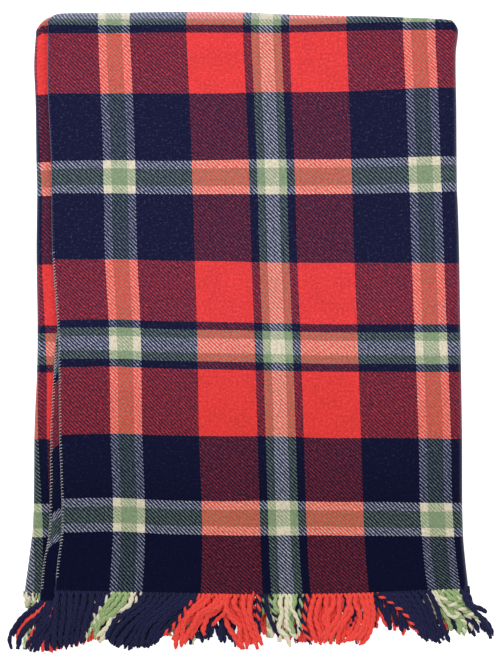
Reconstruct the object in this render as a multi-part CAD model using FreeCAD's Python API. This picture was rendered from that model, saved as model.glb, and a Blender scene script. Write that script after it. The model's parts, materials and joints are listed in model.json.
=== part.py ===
import FreeCAD, Part
import math
import os

# A tartan wool throw: one rectangular cloth, folded in half across its length
# (face out, both fringed ends together) and then letter-folded lengthwise in
# three.  Millimetres, +Z up, +Y towards the cross fold, the fringe towards -Y.
#
# Stack on the left, from the table up (each pair is the doubled cloth):
#   bottom panel  outer (face down), inner
#   tucked flap   inner, outer (face up), joined to the bottom by the left fold
#   front flap    inner, outer (face up), joined to the bottom by the right fold
# Right of the tucked flap's selvedge the front flap sinks onto the bottom panel.

V = FreeCAD.Vector

# ---- driving dimensions -----------------------------------------------------
CLOTH_T = 2.8            # thickness of the napped cloth
PITCH = 4.2              # mid-plane to mid-plane of two layers lying on each other
Y_HEM = -338.0           # where the cloth ends and the fringe begins
Y_CROSS = 412.2          # start of the cross fold's bend, at x = 0
K_CROSS = -0.01557       # slope of the cross fold in plan
X_RIGHT, K_RIGHT = 265.4, -0.0171    # right fold's tangent line x = X + K*y
X_LEFT, K_LEFT = -274.8, 0.0075      # left fold's tangent line
X_FRONT_TOP = -262.0     # front flap's free selvedge, at the cross fold
X_FRONT_HEM_OUTER = -248.0           # the same selvedge at the hem, outer layer
X_FRONT_HEM_INNER = -268.0           # inner layer's selvedge peeks out past it
X_TUCK_OUTER = -24.0     # tucked flap's free selvedge (hidden), at y = 0
X_TUCK_INNER = -21.5
GAP = 0.2                # half of the clearance between a panel and a fold strip

Z1 = CLOTH_T / 2                     # mid-planes of the six layers
Z_BOTTOM_OUT = Z1
Z_BOTTOM_IN = Z1 + PITCH
Z_TUCK_IN = Z1 + 2 * PITCH
Z_TUCK_OUT = Z1 + 3 * PITCH
Z_FRONT_IN = Z1 + 4 * PITCH
DROP = 2 * PITCH                     # how far the front flap sinks off the tucked flap
LOFT = PITCH                         # how far it rises again into the right fold
X_DROP = (-14.0, 46.0)               # where it sinks
X_LOFT = (176.0, 252.0)              # where it rises

R_LEFT_OUT, R_LEFT_IN = 1.5 * PITCH, 0.5 * PITCH      # bend radii, mid-plane
R_RIGHT_OUT, R_RIGHT_IN = 2.0 * PITCH, 1.0 * PITCH
Z_LEFT = Z1 + 1.5 * PITCH            # height of the left fold's centre line
Z_RIGHT = Z1 + 2.0 * PITCH           # height of the right fold's centre line
R_CROSS = PITCH / 2                  # bend radius of the cross fold

HINGE_RIGHT_Z = 12.0                 # mean height of the right fold's two hinges
HINGE_LEFT_Z = Z_LEFT

STRAND_R = CLOTH_T / 2               # one twisted strand of the fringe
STRAND_PITCH = 8.6
STRAND_MIN, STRAND_MAX = 70.0, 82.0  # strand lengths along Y
ROOT_GAP = 0.9           # a strand's square end stays clear of the hem when it is swept
STITCH_W = 1.2                       # overlock thread wrapped round a selvedge

# sideways sweep of the strand tips (root x, tip offset), layer by layer
FAN_FRONT = [(-270, -10), (-200, -8), (-165, -20), (-100, -32), (-60, -30), (-20, -6),
             (15, 4), (60, 0), (100, 6), (140, 4), (160, 24), (200, 28), (250, 33), (275, 34)]
FAN_TUCK = [(-280, -34), (-240, -28), (-150, -12), (-20, 0)]
FAN_BOTTOM = [(-280, -30), (-200, -20), (0, 0), (200, 20), (275, 38)]


# ---- helpers ----------------------------------------------------------------
def x_right(y):
    return X_RIGHT + K_RIGHT * y


def x_left(y):
    return X_LEFT + K_LEFT * y


def y_cross(x):
    return Y_CROSS + K_CROSS * x


def ramp(table, x):
    if x <= table[0][0]:
        return table[0][1]
    for (xa, a), (xb, b) in zip(table, table[1:]):
        if x <= xb:
            return a + (b - a) * (x - xa) / (xb - xa)
    return table[-1][1]


def smooth(x, lo, hi):
    f = min(1.0, max(0.0, (x - lo) / (hi - lo)))
    return f * f * (3 - 2 * f)


def z_front(x, layer):
    """Mid-plane height of the front flap: layer 0 is the inner, 1 the outer."""
    z = Z_FRONT_IN + layer * PITCH
    return z - DROP * smooth(x, *X_DROP) + LOFT * smooth(x, *X_LOFT)


def slab(points, z):
    """Flat panel: plan polygon, mid-plane height."""
    pts = [V(x, y, z - CLOTH_T / 2) for x, y in points]
    return Part.Face(Part.makePolygon(pts + pts[:1])).extrude(V(0, 0, CLOTH_T))


def stations():
    xs = [None]
    xs += [X_DROP[0] + (X_DROP[1] - X_DROP[0]) * i / 5 for i in range(6)]
    xs += [X_LOFT[0] + (X_LOFT[1] - X_LOFT[0]) * i / 5 for i in range(5)]
    return xs + [None]


def front_panel(layer, x_hem):
    """Panel that sinks and rises across its width, one closed solid."""
    y_t = y_cross(x_right(Y_CROSS))
    wires = []
    for i, x in enumerate(stations()):
        if i == 0:
            xb, xt, z = x_hem, X_FRONT_TOP, z_front(X_FRONT_TOP, layer)
        elif x is None:
            xb, xt, z = x_right(Y_HEM) - GAP, x_right(y_t) - GAP, z_front(300.0, layer)
        else:
            xb, xt, z = x, x, z_front(x, layer)
        lo, hi = z - CLOTH_T / 2, z + CLOTH_T / 2
        p = [V(xb, Y_HEM, lo), V(xt, y_cross(xt), lo), V(xt, y_cross(xt), hi), V(xb, Y_HEM, hi)]
        wires.append(Part.makePolygon(p + p[:1]))
    return Part.makeLoft(wires, True, True)


def half_ring(x, y, z, r, outward=1):
    """Half-ring wire in the plane x, bulging towards +Y, between r -/+ half the cloth."""
    a, b = r - CLOTH_T / 2, r + CLOTH_T / 2
    outer = Part.Arc(V(x, y, z + b), V(x, y + b, z), V(x, y, z - b)).toShape()
    inner = Part.Arc(V(x, y, z - a), V(x, y + a, z), V(x, y, z + a)).toShape()
    return Part.Wire([outer, Part.makeLine(V(x, y, z - b), V(x, y, z - a)), inner,
                      Part.makeLine(V(x, y, z + a), V(x, y, z + b))])


def cross_fold(xs, z_mid):
    return Part.makeLoft([half_ring(x, y_cross(x), z_mid(x), R_CROSS) for x in xs], True, True)


def side_fold(r, zc, length, side):
    """Half-round strip along local Y; side +1 bulges to +X, -1 to -X."""
    a, b = r - CLOTH_T / 2, r + CLOTH_T / 2
    outer = Part.Arc(V(0, 0, zc - b), V(side * b, 0, zc), V(0, 0, zc + b)).toShape()
    inner = Part.Arc(V(0, 0, zc + a), V(side * a, 0, zc), V(0, 0, zc - a)).toShape()
    wire = Part.Wire([outer, Part.makeLine(V(0, 0, zc + b), V(0, 0, zc + a)), inner,
                      Part.makeLine(V(0, 0, zc - a), V(0, 0, zc - b))])
    return Part.Face(wire).extrude(V(0, length, 0))


def corner(r_out, r_in, zc, length, side):
    """Where a side fold meets the cross fold: the half ring swept half a turn."""
    ring = Part.Face(half_ring(0, length, zc + (r_out + r_in) / 2, (r_out - r_in) / 2))
    return ring.revolve(V(0, length, zc), V(0, side, 0), 180)


def placed(shape, x0, k):
    """From fold coordinates (fold along local Y) to the throw's own."""
    s = shape.copy()
    s.Placement = FreeCAD.Placement(V(x0, Y_HEM, 0),
                                    FreeCAD.Rotation(V(0, 0, 1), -math.degrees(math.atan(k))))
    return s


def strand(x, z, dx, n):
    """One straight strand from the hem at (x, z); its tip is swept by dx."""
    length = STRAND_MIN + (STRAND_MAX - STRAND_MIN) * ((n * 0.618034 + 0.5) % 1.0)
    root = Y_HEM - ROOT_GAP
    d = V(dx, Y_HEM - length + 0.3 - root, 0)
    return Part.makeCylinder(STRAND_R, d.Length, V(x, root, z), d)


def fringe(x0, x1, height, fan, n0=0):
    count = int(round((x1 - x0) / STRAND_PITCH))
    step = (x1 - x0) / count
    out = []
    for i in range(count):
        x = x0 + (i + 0.5) * step
        out.append(strand(x, height(x), ramp(fan, x), i + n0))
    return out


def fold_strands(x0, zc, r_out, r_in, side, dx):
    out = []
    for r, angles in ((r_out, (-60, 0, 60)), (r_in, (0,))):
        for i, deg in enumerate(angles):
            a = math.radians(deg)
            out.append(strand(x0 + side * r * math.cos(a), zc + r * math.sin(a),
                              side * dx, i))
    return out


def stitching(xb, xt, z, side):
    """Overlock thread outside a selvedge that runs from xb at the hem to xt at the cross fold."""
    k = (xt - xb) / (y_cross(xt) - Y_HEM)
    lo, hi = Y_HEM + 1, y_cross(xt) - 1
    xl, xh = xb + k * (lo - Y_HEM), xb + k * (hi - Y_HEM)
    w = side * STITCH_W
    return slab([(xl + w, lo), (xl, lo), (xh, hi), (xh + w, hi)], z)


# ---- pieces -----------------------------------------------------------------
y_tr = y_cross(x_right(Y_CROSS))
y_tl = y_cross(x_left(Y_CROSS))
len_r = (y_tr - Y_HEM) * math.hypot(1, K_RIGHT)
len_l = (y_tl - Y_HEM) * math.hypot(1, K_LEFT)
nodes = {}

plan = [(x_left(Y_HEM) + GAP, Y_HEM), (x_right(Y_HEM) - GAP, Y_HEM),
        (x_right(y_tr) - GAP, y_tr), (x_left(y_tl) + GAP, y_tl)]
nodes["bottom_panel_outer"] = [slab(plan, Z_BOTTOM_OUT)]
nodes["bottom_panel_inner"] = [slab(plan, Z_BOTTOM_IN)]
nodes["bottom_cross_fold"] = [cross_fold([plan[3][0], plan[2][0]],
                                         lambda x: (Z_BOTTOM_OUT + Z_BOTTOM_IN) / 2)]
nodes["bottom_fringe_outer"] = fringe(plan[0][0], plan[1][0], lambda x: Z_BOTTOM_OUT, FAN_BOTTOM)
nodes["bottom_fringe_inner"] = fringe(plan[0][0], plan[1][0], lambda x: Z_BOTTOM_IN, FAN_BOTTOM, 5)


def tucked(x_free, z):
    x_t = x_free + K_LEFT * Y_CROSS
    return slab([(x_left(Y_HEM) + GAP, Y_HEM), (x_free + K_LEFT * Y_HEM, Y_HEM),
                 (x_t, y_cross(x_t)), (x_left(y_tl) + GAP, y_tl)], z)


nodes["tucked_panel_outer"] = [tucked(X_TUCK_OUTER, Z_TUCK_OUT)]
nodes["tucked_panel_inner"] = [tucked(X_TUCK_INNER, Z_TUCK_IN)]
nodes["tucked_cross_fold"] = [cross_fold([plan[3][0], X_TUCK_OUTER + 2.0],
                                         lambda x: (Z_TUCK_IN + Z_TUCK_OUT) / 2)]
nodes["tucked_fringe_outer"] = fringe(plan[0][0], X_TUCK_OUTER - 3, lambda x: Z_TUCK_OUT, FAN_TUCK, 2)
nodes["tucked_fringe_inner"] = fringe(plan[0][0], X_TUCK_INNER - 3, lambda x: Z_TUCK_IN, FAN_TUCK, 7)
for name, x, z in (("outer", X_TUCK_OUTER, Z_TUCK_OUT), ("inner", X_TUCK_INNER, Z_TUCK_IN)):
    nodes["tucked_selvedge_stitching_" + name] = [
        stitching(x + K_LEFT * Y_HEM, x + K_LEFT * Y_CROSS, z, 1)]

nodes["front_panel_outer"] = [front_panel(1, X_FRONT_HEM_OUTER)]
nodes["front_panel_inner"] = [front_panel(0, X_FRONT_HEM_INNER)]
nodes["front_cross_fold"] = [cross_fold(
    [X_FRONT_TOP] + [x for x in stations() if x is not None] + [plan[2][0]],
    lambda x: (z_front(x, 0) + z_front(x, 1)) / 2)]
nodes["front_fringe_outer"] = fringe(X_FRONT_HEM_OUTER, plan[1][0], lambda x: z_front(x, 1), FAN_FRONT)
nodes["front_fringe_inner"] = fringe(X_FRONT_HEM_INNER, plan[1][0], lambda x: z_front(x, 0), FAN_FRONT, 4)
nodes["front_selvedge_stitching_outer"] = [stitching(X_FRONT_HEM_OUTER, X_FRONT_TOP, z_front(-250, 1), -1)]
nodes["front_selvedge_stitching_inner"] = [stitching(X_FRONT_HEM_INNER, X_FRONT_TOP, z_front(-250, 0), -1)]

xr, xl = x_right(Y_HEM) + GAP, x_left(Y_HEM) - GAP
nodes["right_fold_outer"] = [placed(side_fold(R_RIGHT_OUT, Z_RIGHT, len_r, 1), xr, K_RIGHT)]
nodes["right_fold_inner"] = [placed(side_fold(R_RIGHT_IN, Z_RIGHT, len_r, 1), xr, K_RIGHT)]
nodes["right_fold_corner"] = [placed(corner(R_RIGHT_OUT, R_RIGHT_IN, Z_RIGHT, len_r, 1), xr, K_RIGHT)]
nodes["right_fold_fringe"] = fold_strands(xr, Z_RIGHT, R_RIGHT_OUT, R_RIGHT_IN, 1, 36.0)
nodes["left_fold_outer"] = [placed(side_fold(R_LEFT_OUT, Z_LEFT, len_l, -1), xl, K_LEFT)]
nodes["left_fold_inner"] = [placed(side_fold(R_LEFT_IN, Z_LEFT, len_l, -1), xl, K_LEFT)]
nodes["left_fold_corner"] = [placed(corner(R_LEFT_OUT, R_LEFT_IN, Z_LEFT, len_l, -1), xl, K_LEFT)]
nodes["left_fold_fringe"] = fold_strands(xl, Z_LEFT, R_LEFT_OUT, R_LEFT_IN, -1, 31.0)

# ---- origin at the middle of the footprint, on the table --------------------
shapes = {n: Part.Compound(s) if len(s) > 1 else s[0] for n, s in nodes.items()}
box = FreeCAD.BoundBox()
for s in shapes.values():
    b = s.optimalBoundingBox(False, False)
    box.add(b)
shift = V(-(box.XMin + box.XMax) / 2, -(box.YMin + box.YMax) / 2, -box.ZMin)

os.makedirs("parts", exist_ok=True)
for n, s in shapes.items():
    s.translate(shift)
    if not s.isValid():
        raise RuntimeError(n + " is not a valid solid")
    s.exportStep(os.path.join("parts", n + ".step"))

print("nodes", len(shapes), "solids", sum(len(s.Solids) for s in shapes.values()),
      "volume_cm3", round(sum(s.Volume for s in shapes.values()) / 1000, 1))
print("box", [round(v, 3) for v in (box.XMin, box.YMin, box.ZMin, box.XMax, box.YMax, box.ZMax)],
      "shift", [round(v, 4) for v in (shift.x, shift.y, shift.z)])

# ---- hinge lines: two quarter turns open each side fold ----------------------
for name, x0, k, r, zh, side in (("right", X_RIGHT + GAP, K_RIGHT, R_RIGHT_OUT, HINGE_RIGHT_Z, 1),
                                 ("left", X_LEFT - GAP, K_LEFT, R_LEFT_OUT, HINGE_LEFT_Z, -1)):
    off = math.pi / 4 * r
    length = math.hypot(1, k)
    print(name, "axis", [side * k / length, side / length, 0.0],
          "lower", [round(v, 4) for v in (x0 + side * off + shift.x, shift.y, zh - off + shift.z)],
          "upper", [round(v, 4) for v in (x0 + side * off + shift.x, shift.y, zh + off + shift.z)])
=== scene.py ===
import json
import math

import bpy
import numpy as np
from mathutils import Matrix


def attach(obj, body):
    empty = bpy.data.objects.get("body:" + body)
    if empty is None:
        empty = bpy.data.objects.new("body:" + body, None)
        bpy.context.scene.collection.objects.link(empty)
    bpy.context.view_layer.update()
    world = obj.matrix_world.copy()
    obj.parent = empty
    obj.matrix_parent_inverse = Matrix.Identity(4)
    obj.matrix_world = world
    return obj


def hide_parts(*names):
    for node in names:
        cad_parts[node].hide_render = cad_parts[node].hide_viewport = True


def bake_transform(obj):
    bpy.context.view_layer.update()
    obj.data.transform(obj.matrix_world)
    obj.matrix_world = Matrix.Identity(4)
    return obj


# The folded tartan throw.  Plan positions are worked out in "ends": one end is
# one warp yarn, 1.308 mm, in a plan frame whose x runs right and y runs from the
# cross fold towards the fringe.  Heights are in millimetres.

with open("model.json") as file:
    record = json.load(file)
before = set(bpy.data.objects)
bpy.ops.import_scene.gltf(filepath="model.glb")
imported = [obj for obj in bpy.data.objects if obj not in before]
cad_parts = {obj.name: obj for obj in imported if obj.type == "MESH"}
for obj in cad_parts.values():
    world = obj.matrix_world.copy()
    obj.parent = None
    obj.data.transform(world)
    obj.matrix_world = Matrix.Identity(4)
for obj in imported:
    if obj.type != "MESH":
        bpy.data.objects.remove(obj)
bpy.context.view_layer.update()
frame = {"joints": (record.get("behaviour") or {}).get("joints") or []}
joints = {j["name"]: j for j in frame["joints"]}
END = 1.308e-3
OX = joints["right_fold_opens"]["pos_m"][0] - 0.2721973
OY = joints["right_fold_opens"]["pos_m"][1]
T = 2.8                      # cloth thickness, mm
RNG = np.random.default_rng(20)


def wx(x):
    return (np.asarray(x, float) - 250.5) * END + OX


def wy(y):
    return (332.5 - np.asarray(y, float)) * END + OY


# ------------------------------------------------------------------ interpolation
def slopes(xs, f):
    m = [(f[1] - f[0]) / (xs[1] - xs[0])]
    for k in range(1, len(xs) - 1):
        m.append((f[k + 1] - f[k - 1]) / (xs[k + 1] - xs[k - 1]))
    m.append((f[-1] - f[-2]) / (xs[-1] - xs[-2]))
    return m


def hermite(q, xs, f):
    """Smooth curve through (xs, f); f's entries may be numbers or arrays like q."""
    q = np.asarray(q, float)
    f = [np.broadcast_to(np.asarray(v, float), q.shape) for v in f]
    m = slopes(xs, f)
    out = np.where(q < xs[0], f[0], f[-1]).astype(float)
    for k in range(len(xs) - 1):
        h = xs[k + 1] - xs[k]
        t = np.clip((q - xs[k]) / h, 0, 1)
        v = ((2 * t**3 - 3 * t**2 + 1) * f[k] + (t**3 - 2 * t**2 + t) * h * m[k]
             + (-2 * t**3 + 3 * t**2) * f[k + 1] + (t**3 - t**2) * h * m[k + 1])
        out = np.where((q >= xs[k]) & (q <= xs[k + 1]), v, out)
    return out


def curve(table):
    xs = [a for a, _ in table]
    f = [b for _, b in table]
    return lambda q: hermite(q, xs, f)


def field(ax, ay, rows):
    """rows[j][i] at (ax[i], ay[j]) as a smooth function of two arrays."""
    def at(x, y):
        y = np.clip(y, ay[0], ay[-1])
        x = np.clip(x, ax[0], ax[-1])
        cols = [hermite(y, ay, [r[i] for r in rows]) for i in range(len(ax))]
        return hermite(x, ax, cols)
    return at


def smooth(q, lo, hi):
    f = np.clip((np.asarray(q, float) - lo) / (hi - lo), 0, 1)
    return f * f * (3 - 2 * f)


def ripple(x, y, seed, scale):
    """Gentle smooth unevenness between about -1 and 1."""
    r = np.random.default_rng(seed)
    out = 0
    for k in range(7):
        a = r.uniform(0, 2 * math.pi)
        f = r.uniform(0.6, 1.6) / scale * 2 * math.pi
        out = out + r.uniform(0.5, 1.0) * np.sin((x * math.cos(a) + y * math.sin(a)) * f + r.uniform(0, 6.28))
    return out / 3.2


# ------------------------------------------------------------------ the fold's plan
U_FREE, U_END = 50.0, 1097.0
W_HEM = 583.0
# sideways shift of the warp on the front flap: x = u + shift(u, y)
shift_out = field([50, 117, 190, 270, 321, 423],
                  [12, 33, 91, 159, 250, 324, 370, 436, 502, 534, 565, 592], [
    [-1.2, -3.0, -3.5, -4.0, -3.7, -4.5],
    [-1.2, -2.8, -3.5, -4.0, -3.3, -4.0],
    [-1.2, -0.4, -1.0, -1.5, -1.3, -0.9],
    [2.0, 2.2, 1.8, 1.4, 1.4, 1.6],
    [3.2, 4.0, 4.5, 3.9, 3.9, 4.8],
    [8.2, 7.7, 6.9, 6.9, 7.2, 7.5],
    [9.6, 8.7, 7.9, 8.7, 8.7, 9.6],
    [10.2, 9.5, 9.0, 10.7, 10.8, 11.9],
    [12.5, 12.0, 11.7, 12.6, 13.1, 13.1],
    [12.0, 12.0, 12.2, 13.7, 14.2, 15.0],
    [8.0, 10.7, 12.0, 15.0, 16.0, 17.9],
    [6.0, 9.0, 10.9, 17.0, 18.0, 21.9]])
edge_right = curve([(12, 458.2), (30, 458.4), (51, 456.2), (111, 456.8), (188, 457.4), (207, 458.3),
                    (250, 459.6), (324, 460.8), (407, 462.0), (436, 462.4), (536, 463.2),
                    (565, 466.0), (597, 469.5)])
edge_left = curve([(12, 37.0), (32, 37.0), (64, 36.0), (96, 36.4), (159, 37.0), (191, 37.8), (250, 37.2),
                   (327, 38.2), (375, 37.5), (407, 36.0), (436, 35.0), (500, 34.4), (532, 33.0),
                   (565, 29.0), (589, 25.7), (605, 24.0)])
# selvedge of the front flap's inner layer, which peeks out near the hem
edge_inner = curve([(12, 51.0), (96, 51.0), (159, 53.5), (250, 55.0), (300, 57.5), (325, 58.5), (343, 56.2),
                    (375, 54.2), (436, 51.2), (507, 50.6), (536, 49.0), (565, 43.8), (589, 41.5), (605, 40.0)])
# lengthwise shift of the weft on the front flap: y = w + 9.25 + lift(x, w)
lift_out = field([60, 117, 161, 219, 273, 323, 379, 424, 455],
                 [0, 15.75, 23.75, 84.4, 151.8, 185.4, 251.3, 311.8, 351.3, 359, 425.8, 490.8, 524.3, 583], [
    [0, 0.5, 0, 0, 0, -1.2, -3.0, -3.0, -2.5],
    [0, 0.5, 0, 0, 0, -1.2, -3.0, -3.0, -2.5],
    [0.6, 0.7, 0, 0, -0.3, -1.5, -3.0, -3.2, -3.0],
    [0, 0, 0, 0, -1.8, -2.0, -4.0, -6.0, -6.0],
    [0, -0.6, 0, -0.7, -1.8, -1.8, -3.0, -4.5, -4.8],
    [-0.8, -0.8, 0, 0, 0, -0.4, -1.0, -2.2, -2.8],
    [-1.0, -1.0, 0, 0.8, 2.0, 2.3, 2.2, 2.3, 2.8],
    [-1.2, -1.6, 0, 1.0, 2.0, 3.2, 3.2, 3.2, 3.3],
    [-1.8, -1.8, 0, 1.0, 2.0, 3.2, 3.3, 3.5, 3.5],
    [-1.2, -1.7, 0, 1.2, 2.4, 3.4, 3.5, 3.7, 3.7],
    [-0.3, -1.5, 0, 1.0, 1.2, 3.0, 3.0, 3.3, 3.8],
    [-1.5, -2.3, 0, 1.0, 0.8, 2.0, 2.2, 2.9, 3.0],
    [-1.2, -2.3, 0, 1.3, 2.0, 2.0, 2.6, 2.8, 3.0],
    [-2.0, -1.0, 0, 1.0, 1.6, 1.6, 0.0, -2.0, -3.5]])
# where the cross fold's crest runs in the weft, across the front flap
crest = curve([(50, 9.0), (53, 6.4), (57, 4.6), (64, 3.7), (102, 2.9), (162, 2.35), (253, 2.75), (291, 4.5), (349, 7.7), (403, 10.3),
               (437, 11.8), (452, 13.5)])
# the left fold's first end of the tucked flap, by y
u_tuck = curve([(12, 908.6), (110, 908.2), (190, 906.6), (300, 905.3), (400, 900.6), (500, 896.2), (565, 889.6), (595, 886.0)])
STRIP_R, STRIP_L = 20.2, 15.1          # ends taken up by each side fold
RX_R, RX_L = (6.62, 3.31), (6.30, 2.60)  # half widths of the side folds: outer, inner
TAN_R, TAN_L = 7.5, 5.9                # from a fold's outer edge to its tangent line


# how far the tucked flap's weft sits below its count
off_tuck = curve([(20, 9.5), (60, 9.6), (130, 10.0), (196, 10.7), (264, 13.3), (325, 13.6), (600, 13.0)])


def u_fold(y):
    return 451.5 - 11.0 * (y - 20.0) / 572.0


def tan_right(y):
    return edge_right(y) - TAN_R


def tan_left(y):
    return edge_left(y) + TAN_L


N_PANEL, N_ARC = 144, 10
N_A, N_R, N_B, N_L, N_T = 100, 16, 104, 12, 48
ROW = np.linspace(0, 1, N_PANEL + 1)[:, None]


class Part:
    """One panel of the folded cloth: both layers, tangent line to hem."""


def panel_front():
    p = Part()
    s = np.linspace(0, 1, N_A + 1)[None, :]
    p.r = np.full(N_A + 1, 2.6)
    vt = 1.571 * p.r
    # outer layer
    u = U_FREE + s * (446 - U_FREE)
    ca = crest(u)
    w = ca + vt + ROW * (W_HEM - ca - vt)
    y = w + 9.25
    for _ in range(4):
        u = U_FREE + s * (u_fold(y) - U_FREE)
        x = u + shift_out(u, y)
        near = smooth(u, 437, 451)
        x = x * (1 - near) + near * (tan_right(y) - (u_fold(y) - u))
        y = w + 9.25 + lift_out(x, w)
    p.xo, p.yo, p.uo, p.wo = x, y, u, w
    # inner layer
    yt = y[:1]
    hem = 594.0 + 7.0 * (1 - smooth(s, 0, 0.14)) + 1.2 * np.sin(s * 9.0)
    yi = yt + ROW * (hem - yt)
    ui = U_FREE + s * (u_fold(yi) - U_FREE)
    xl, xr = edge_inner(yi), tan_right(yi)
    p.xi, p.yi, p.ui = xl + s * (xr - xl), yi, ui
    p.wi = ca[:1] - vt - (yi - yt)
    # heights
    for k, (px, py) in enumerate(((p.xi, p.yi), (p.xo, p.yo))):
        X = wx(px) * 1000 - OX * 1000
        sink = smooth(X, -14, 46)
        rise = smooth(X, 176, 252)
        loft = np.exp(-np.maximum(py - py[:1], 0) / 26.0)
        z = 18.2 - 8.4 * sink + 4.2 * rise + loft * (1.2 - 0.6 * sink)
        calm = (1 - smooth(X, 205, 250))
        z = z + 0.75 * ripple(px, py, 3, 150) * calm + 0.25 * ripple(px, py, 11 + k, 60) * calm * (1 - loft)
        free = 1 - smooth(s, 0, 0.05)
        z = z - (0.55 + 0.55 * k) * free
        if k:
            z = z + 4.2 + 2.6 * loft
            p.zo = z
        else:
            p.zi = z
    return p


def panel_base():
    p = Part()
    s = np.linspace(0, 1, N_B + 1)[None, :]
    p.r = 2.6 - 0.6 * smooth(s[0], 0, 0.1)
    vt = 1.571 * p.r
    x0 = 450.8 + s * (43.0 - 450.8)
    top = hermite(x0, [43, 60, 120, 250, 350, 400, 451], [25.0, 19.5, 17.0, 18.0, 19.8, 21.6, 26.4])
    fy, fw = front.yo[:, -1], front.wo[:, -1]
    for name, hem_y, seed in (("o", 593.0, 31), ("i", 595.0, 32)):
        hem = hem_y + 1.5 * np.sin(s * 7 + seed)
        y = top + ROW * (hem - top)
        x = tan_right(y) + s * (tan_left(y) - tan_right(y))
        u = (u_fold(y) + STRIP_R) + s * ((u_tuck(y) - STRIP_L) - (u_fold(y) + STRIP_R))
        w = (1 - s) * np.interp(y, fy, fw, right=1e9) + s * (y - off_tuck(y))
        w = np.where(y > fy[-1], (1 - s) * (fw[-1] + y - fy[-1]) + s * (y - off_tuck(y)), w)
        if name == "o":
            ca = w[:1] - vt
        setattr(p, "x" + name, x)
        setattr(p, "y" + name, y)
        setattr(p, "u" + name, u)
        setattr(p, "w" + name, w if name == "o" else ca - vt - (y - top))
    calm = smooth(s, 0, 0.1) * smooth(1 - s, 0, 0.1)
    loft = np.exp(-(p.yo - p.yo[:1]) / 26.0)
    p.zo = 1.42 + 0.25 * (1 + ripple(p.xo, p.yo, 41, 170)) * calm + 0 * p.xo
    loft = np.exp(-(p.yi - p.yi[:1]) / 26.0)
    p.zi = 5.6 + 1.0 * loft + (0.35 * ripple(p.xi, p.yi, 42, 120) + 0.25) * calm
    return p


def panel_tucked():
    p = Part()
    s = np.linspace(0, 1, N_T + 1)[None, :]
    p.r = np.full(N_T + 1, 2.0)
    vt = 1.571 * p.r
    top = hermite(s, [0, 0.03, 0.08, 0.2, 0.5, 1.0], [23.6, 19.5, 17.9, 17.2, 17.0, 17.4])
    for name, hem_y, seed in (("o", 595.5, 51), ("i", 597.0, 52)):
        hem = hem_y + 1.3 * np.sin(s * 6 + seed)
        y = top + ROW * (hem - top)
        u = u_tuck(y) + s * (U_END - u_tuck(y))
        x = tan_left(y) + (u - u_tuck(y))
        w = y - off_tuck(y)
        if name == "o":
            ca = w[:1] - vt
        setattr(p, "x" + name, x)
        setattr(p, "y" + name, y)
        setattr(p, "u" + name, u)
        setattr(p, "w" + name, w if name == "o" else ca - vt - (y - top))
    calm = smooth(s, 0, 0.15)
    loft = np.exp(-(p.yi - p.yi[:1]) / 26.0)
    p.zi = 9.8 + 0.6 * loft + 0.3 * ripple(p.xi, p.yi, 61, 110) * calm
    loft = np.exp(-(p.yo - p.yo[:1]) / 26.0)
    p.zo = 14.0 + 1.6 * loft + 0.35 * ripple(p.xo, p.yo, 61, 110) * calm
    return p


def bell(y):
    return np.exp(-((y - 58.0) / 34.0) ** 2)


def strip(a, ca, b, cb, rx, n, side, corner_y):
    """The half-round fold between column ca of panel a (upper) and cb of panel b (lower)."""
    p = Part()
    phi = np.linspace(0, math.pi, n + 1)[None, :]
    f = phi / math.pi
    p.phi = phi[0]
    p.r = a.r[ca] + f[0] * (b.r[cb] - a.r[ca])
    drop = corner_y * np.exp(-ROW * 26.0) * np.sin(phi) ** 1.5
    for k, name in enumerate("oi"):
        xa, ya, ua, wa, za = (getattr(a, q + name)[:, ca][:, None] for q in "xyuwz")
        xb, yb, ub, wb, zb = (getattr(b, q + name)[:, cb][:, None] for q in "xyuwz")
        wide = 1 + 0.20 * bell((ya + yb) / 2) * (side < 0)
        setattr(p, "x" + name, xa + f * (xb - xa) + side * rx[k] * wide * np.sin(phi))
        setattr(p, "y" + name, ya + f * (yb - ya) + drop)
        setattr(p, "u" + name, ua + f * (ub - ua))
        setattr(p, "w" + name, wa + f * (wb - wa))
        setattr(p, "z" + name, (za + zb) / 2 + (za - zb) / 2 * np.cos(phi))
    return p


front = panel_front()
base, tucked = panel_base(), panel_tucked()
right = strip(front, -1, base, 0, RX_R, N_R, 1, 5.5)
left = strip(tucked, 0, base, -1, RX_L, N_L, -1, 7.0)


def flip(p):
    q = Part()
    for k, v in p.__dict__.items():
        setattr(q, k, v[..., ::-1])
    return q


left_out = flip(left)        # from the base round to the tucked flap


def whole():
    """Grid of the whole cloth's middle surface: rows from the inner hem over the
    cross fold to the outer hem, columns from the front selvedge to the tucked one."""
    order = [front, right, base, left_out, tucked]
    cols = {}
    n = 0
    for name, p in zip(("front", "right", "base", "left", "tucked"), order):
        w = p.xo.shape[1]
        cols[name] = (n, n + w - 1)
        n += w - 1
    def join(q):
        parts = [getattr(p, q) for p in order]
        return np.concatenate([a[..., (0 if i == 0 else 1):] for i, a in enumerate(parts)], axis=-1)
    out = np.stack([wx(join("xo")), wy(join("yo")), join("zo") / 1000], -1)
    inn = np.stack([wx(join("xi")), wy(join("yi")), join("zi") / 1000], -1)
    r = join("r")
    th = np.linspace(-math.pi / 2, math.pi / 2, N_ARC + 1)[1:-1]
    mid, half = (out[0] + inn[0]) / 2, (out[0] - inn[0]) / 2
    arc = mid[None] + half[None] * np.sin(th)[:, None, None]
    arc[..., 1] += (r * END)[None] * np.cos(th)[:, None]
    M = np.concatenate([inn[::-1], arc, out], 0)
    u = np.concatenate([join("ui")[::-1], np.repeat((join("ui")[:1] + join("uo")[:1]) / 2, len(th), 0), join("uo")], 0)
    g = (th / math.pi + 0.5)[:, None]
    wa = join("wi")[:1] + g * (join("wo")[:1] - join("wi")[:1])
    w = np.concatenate([join("wi")[::-1], wa, join("wo")], 0)
    return M, u, w, cols


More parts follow.
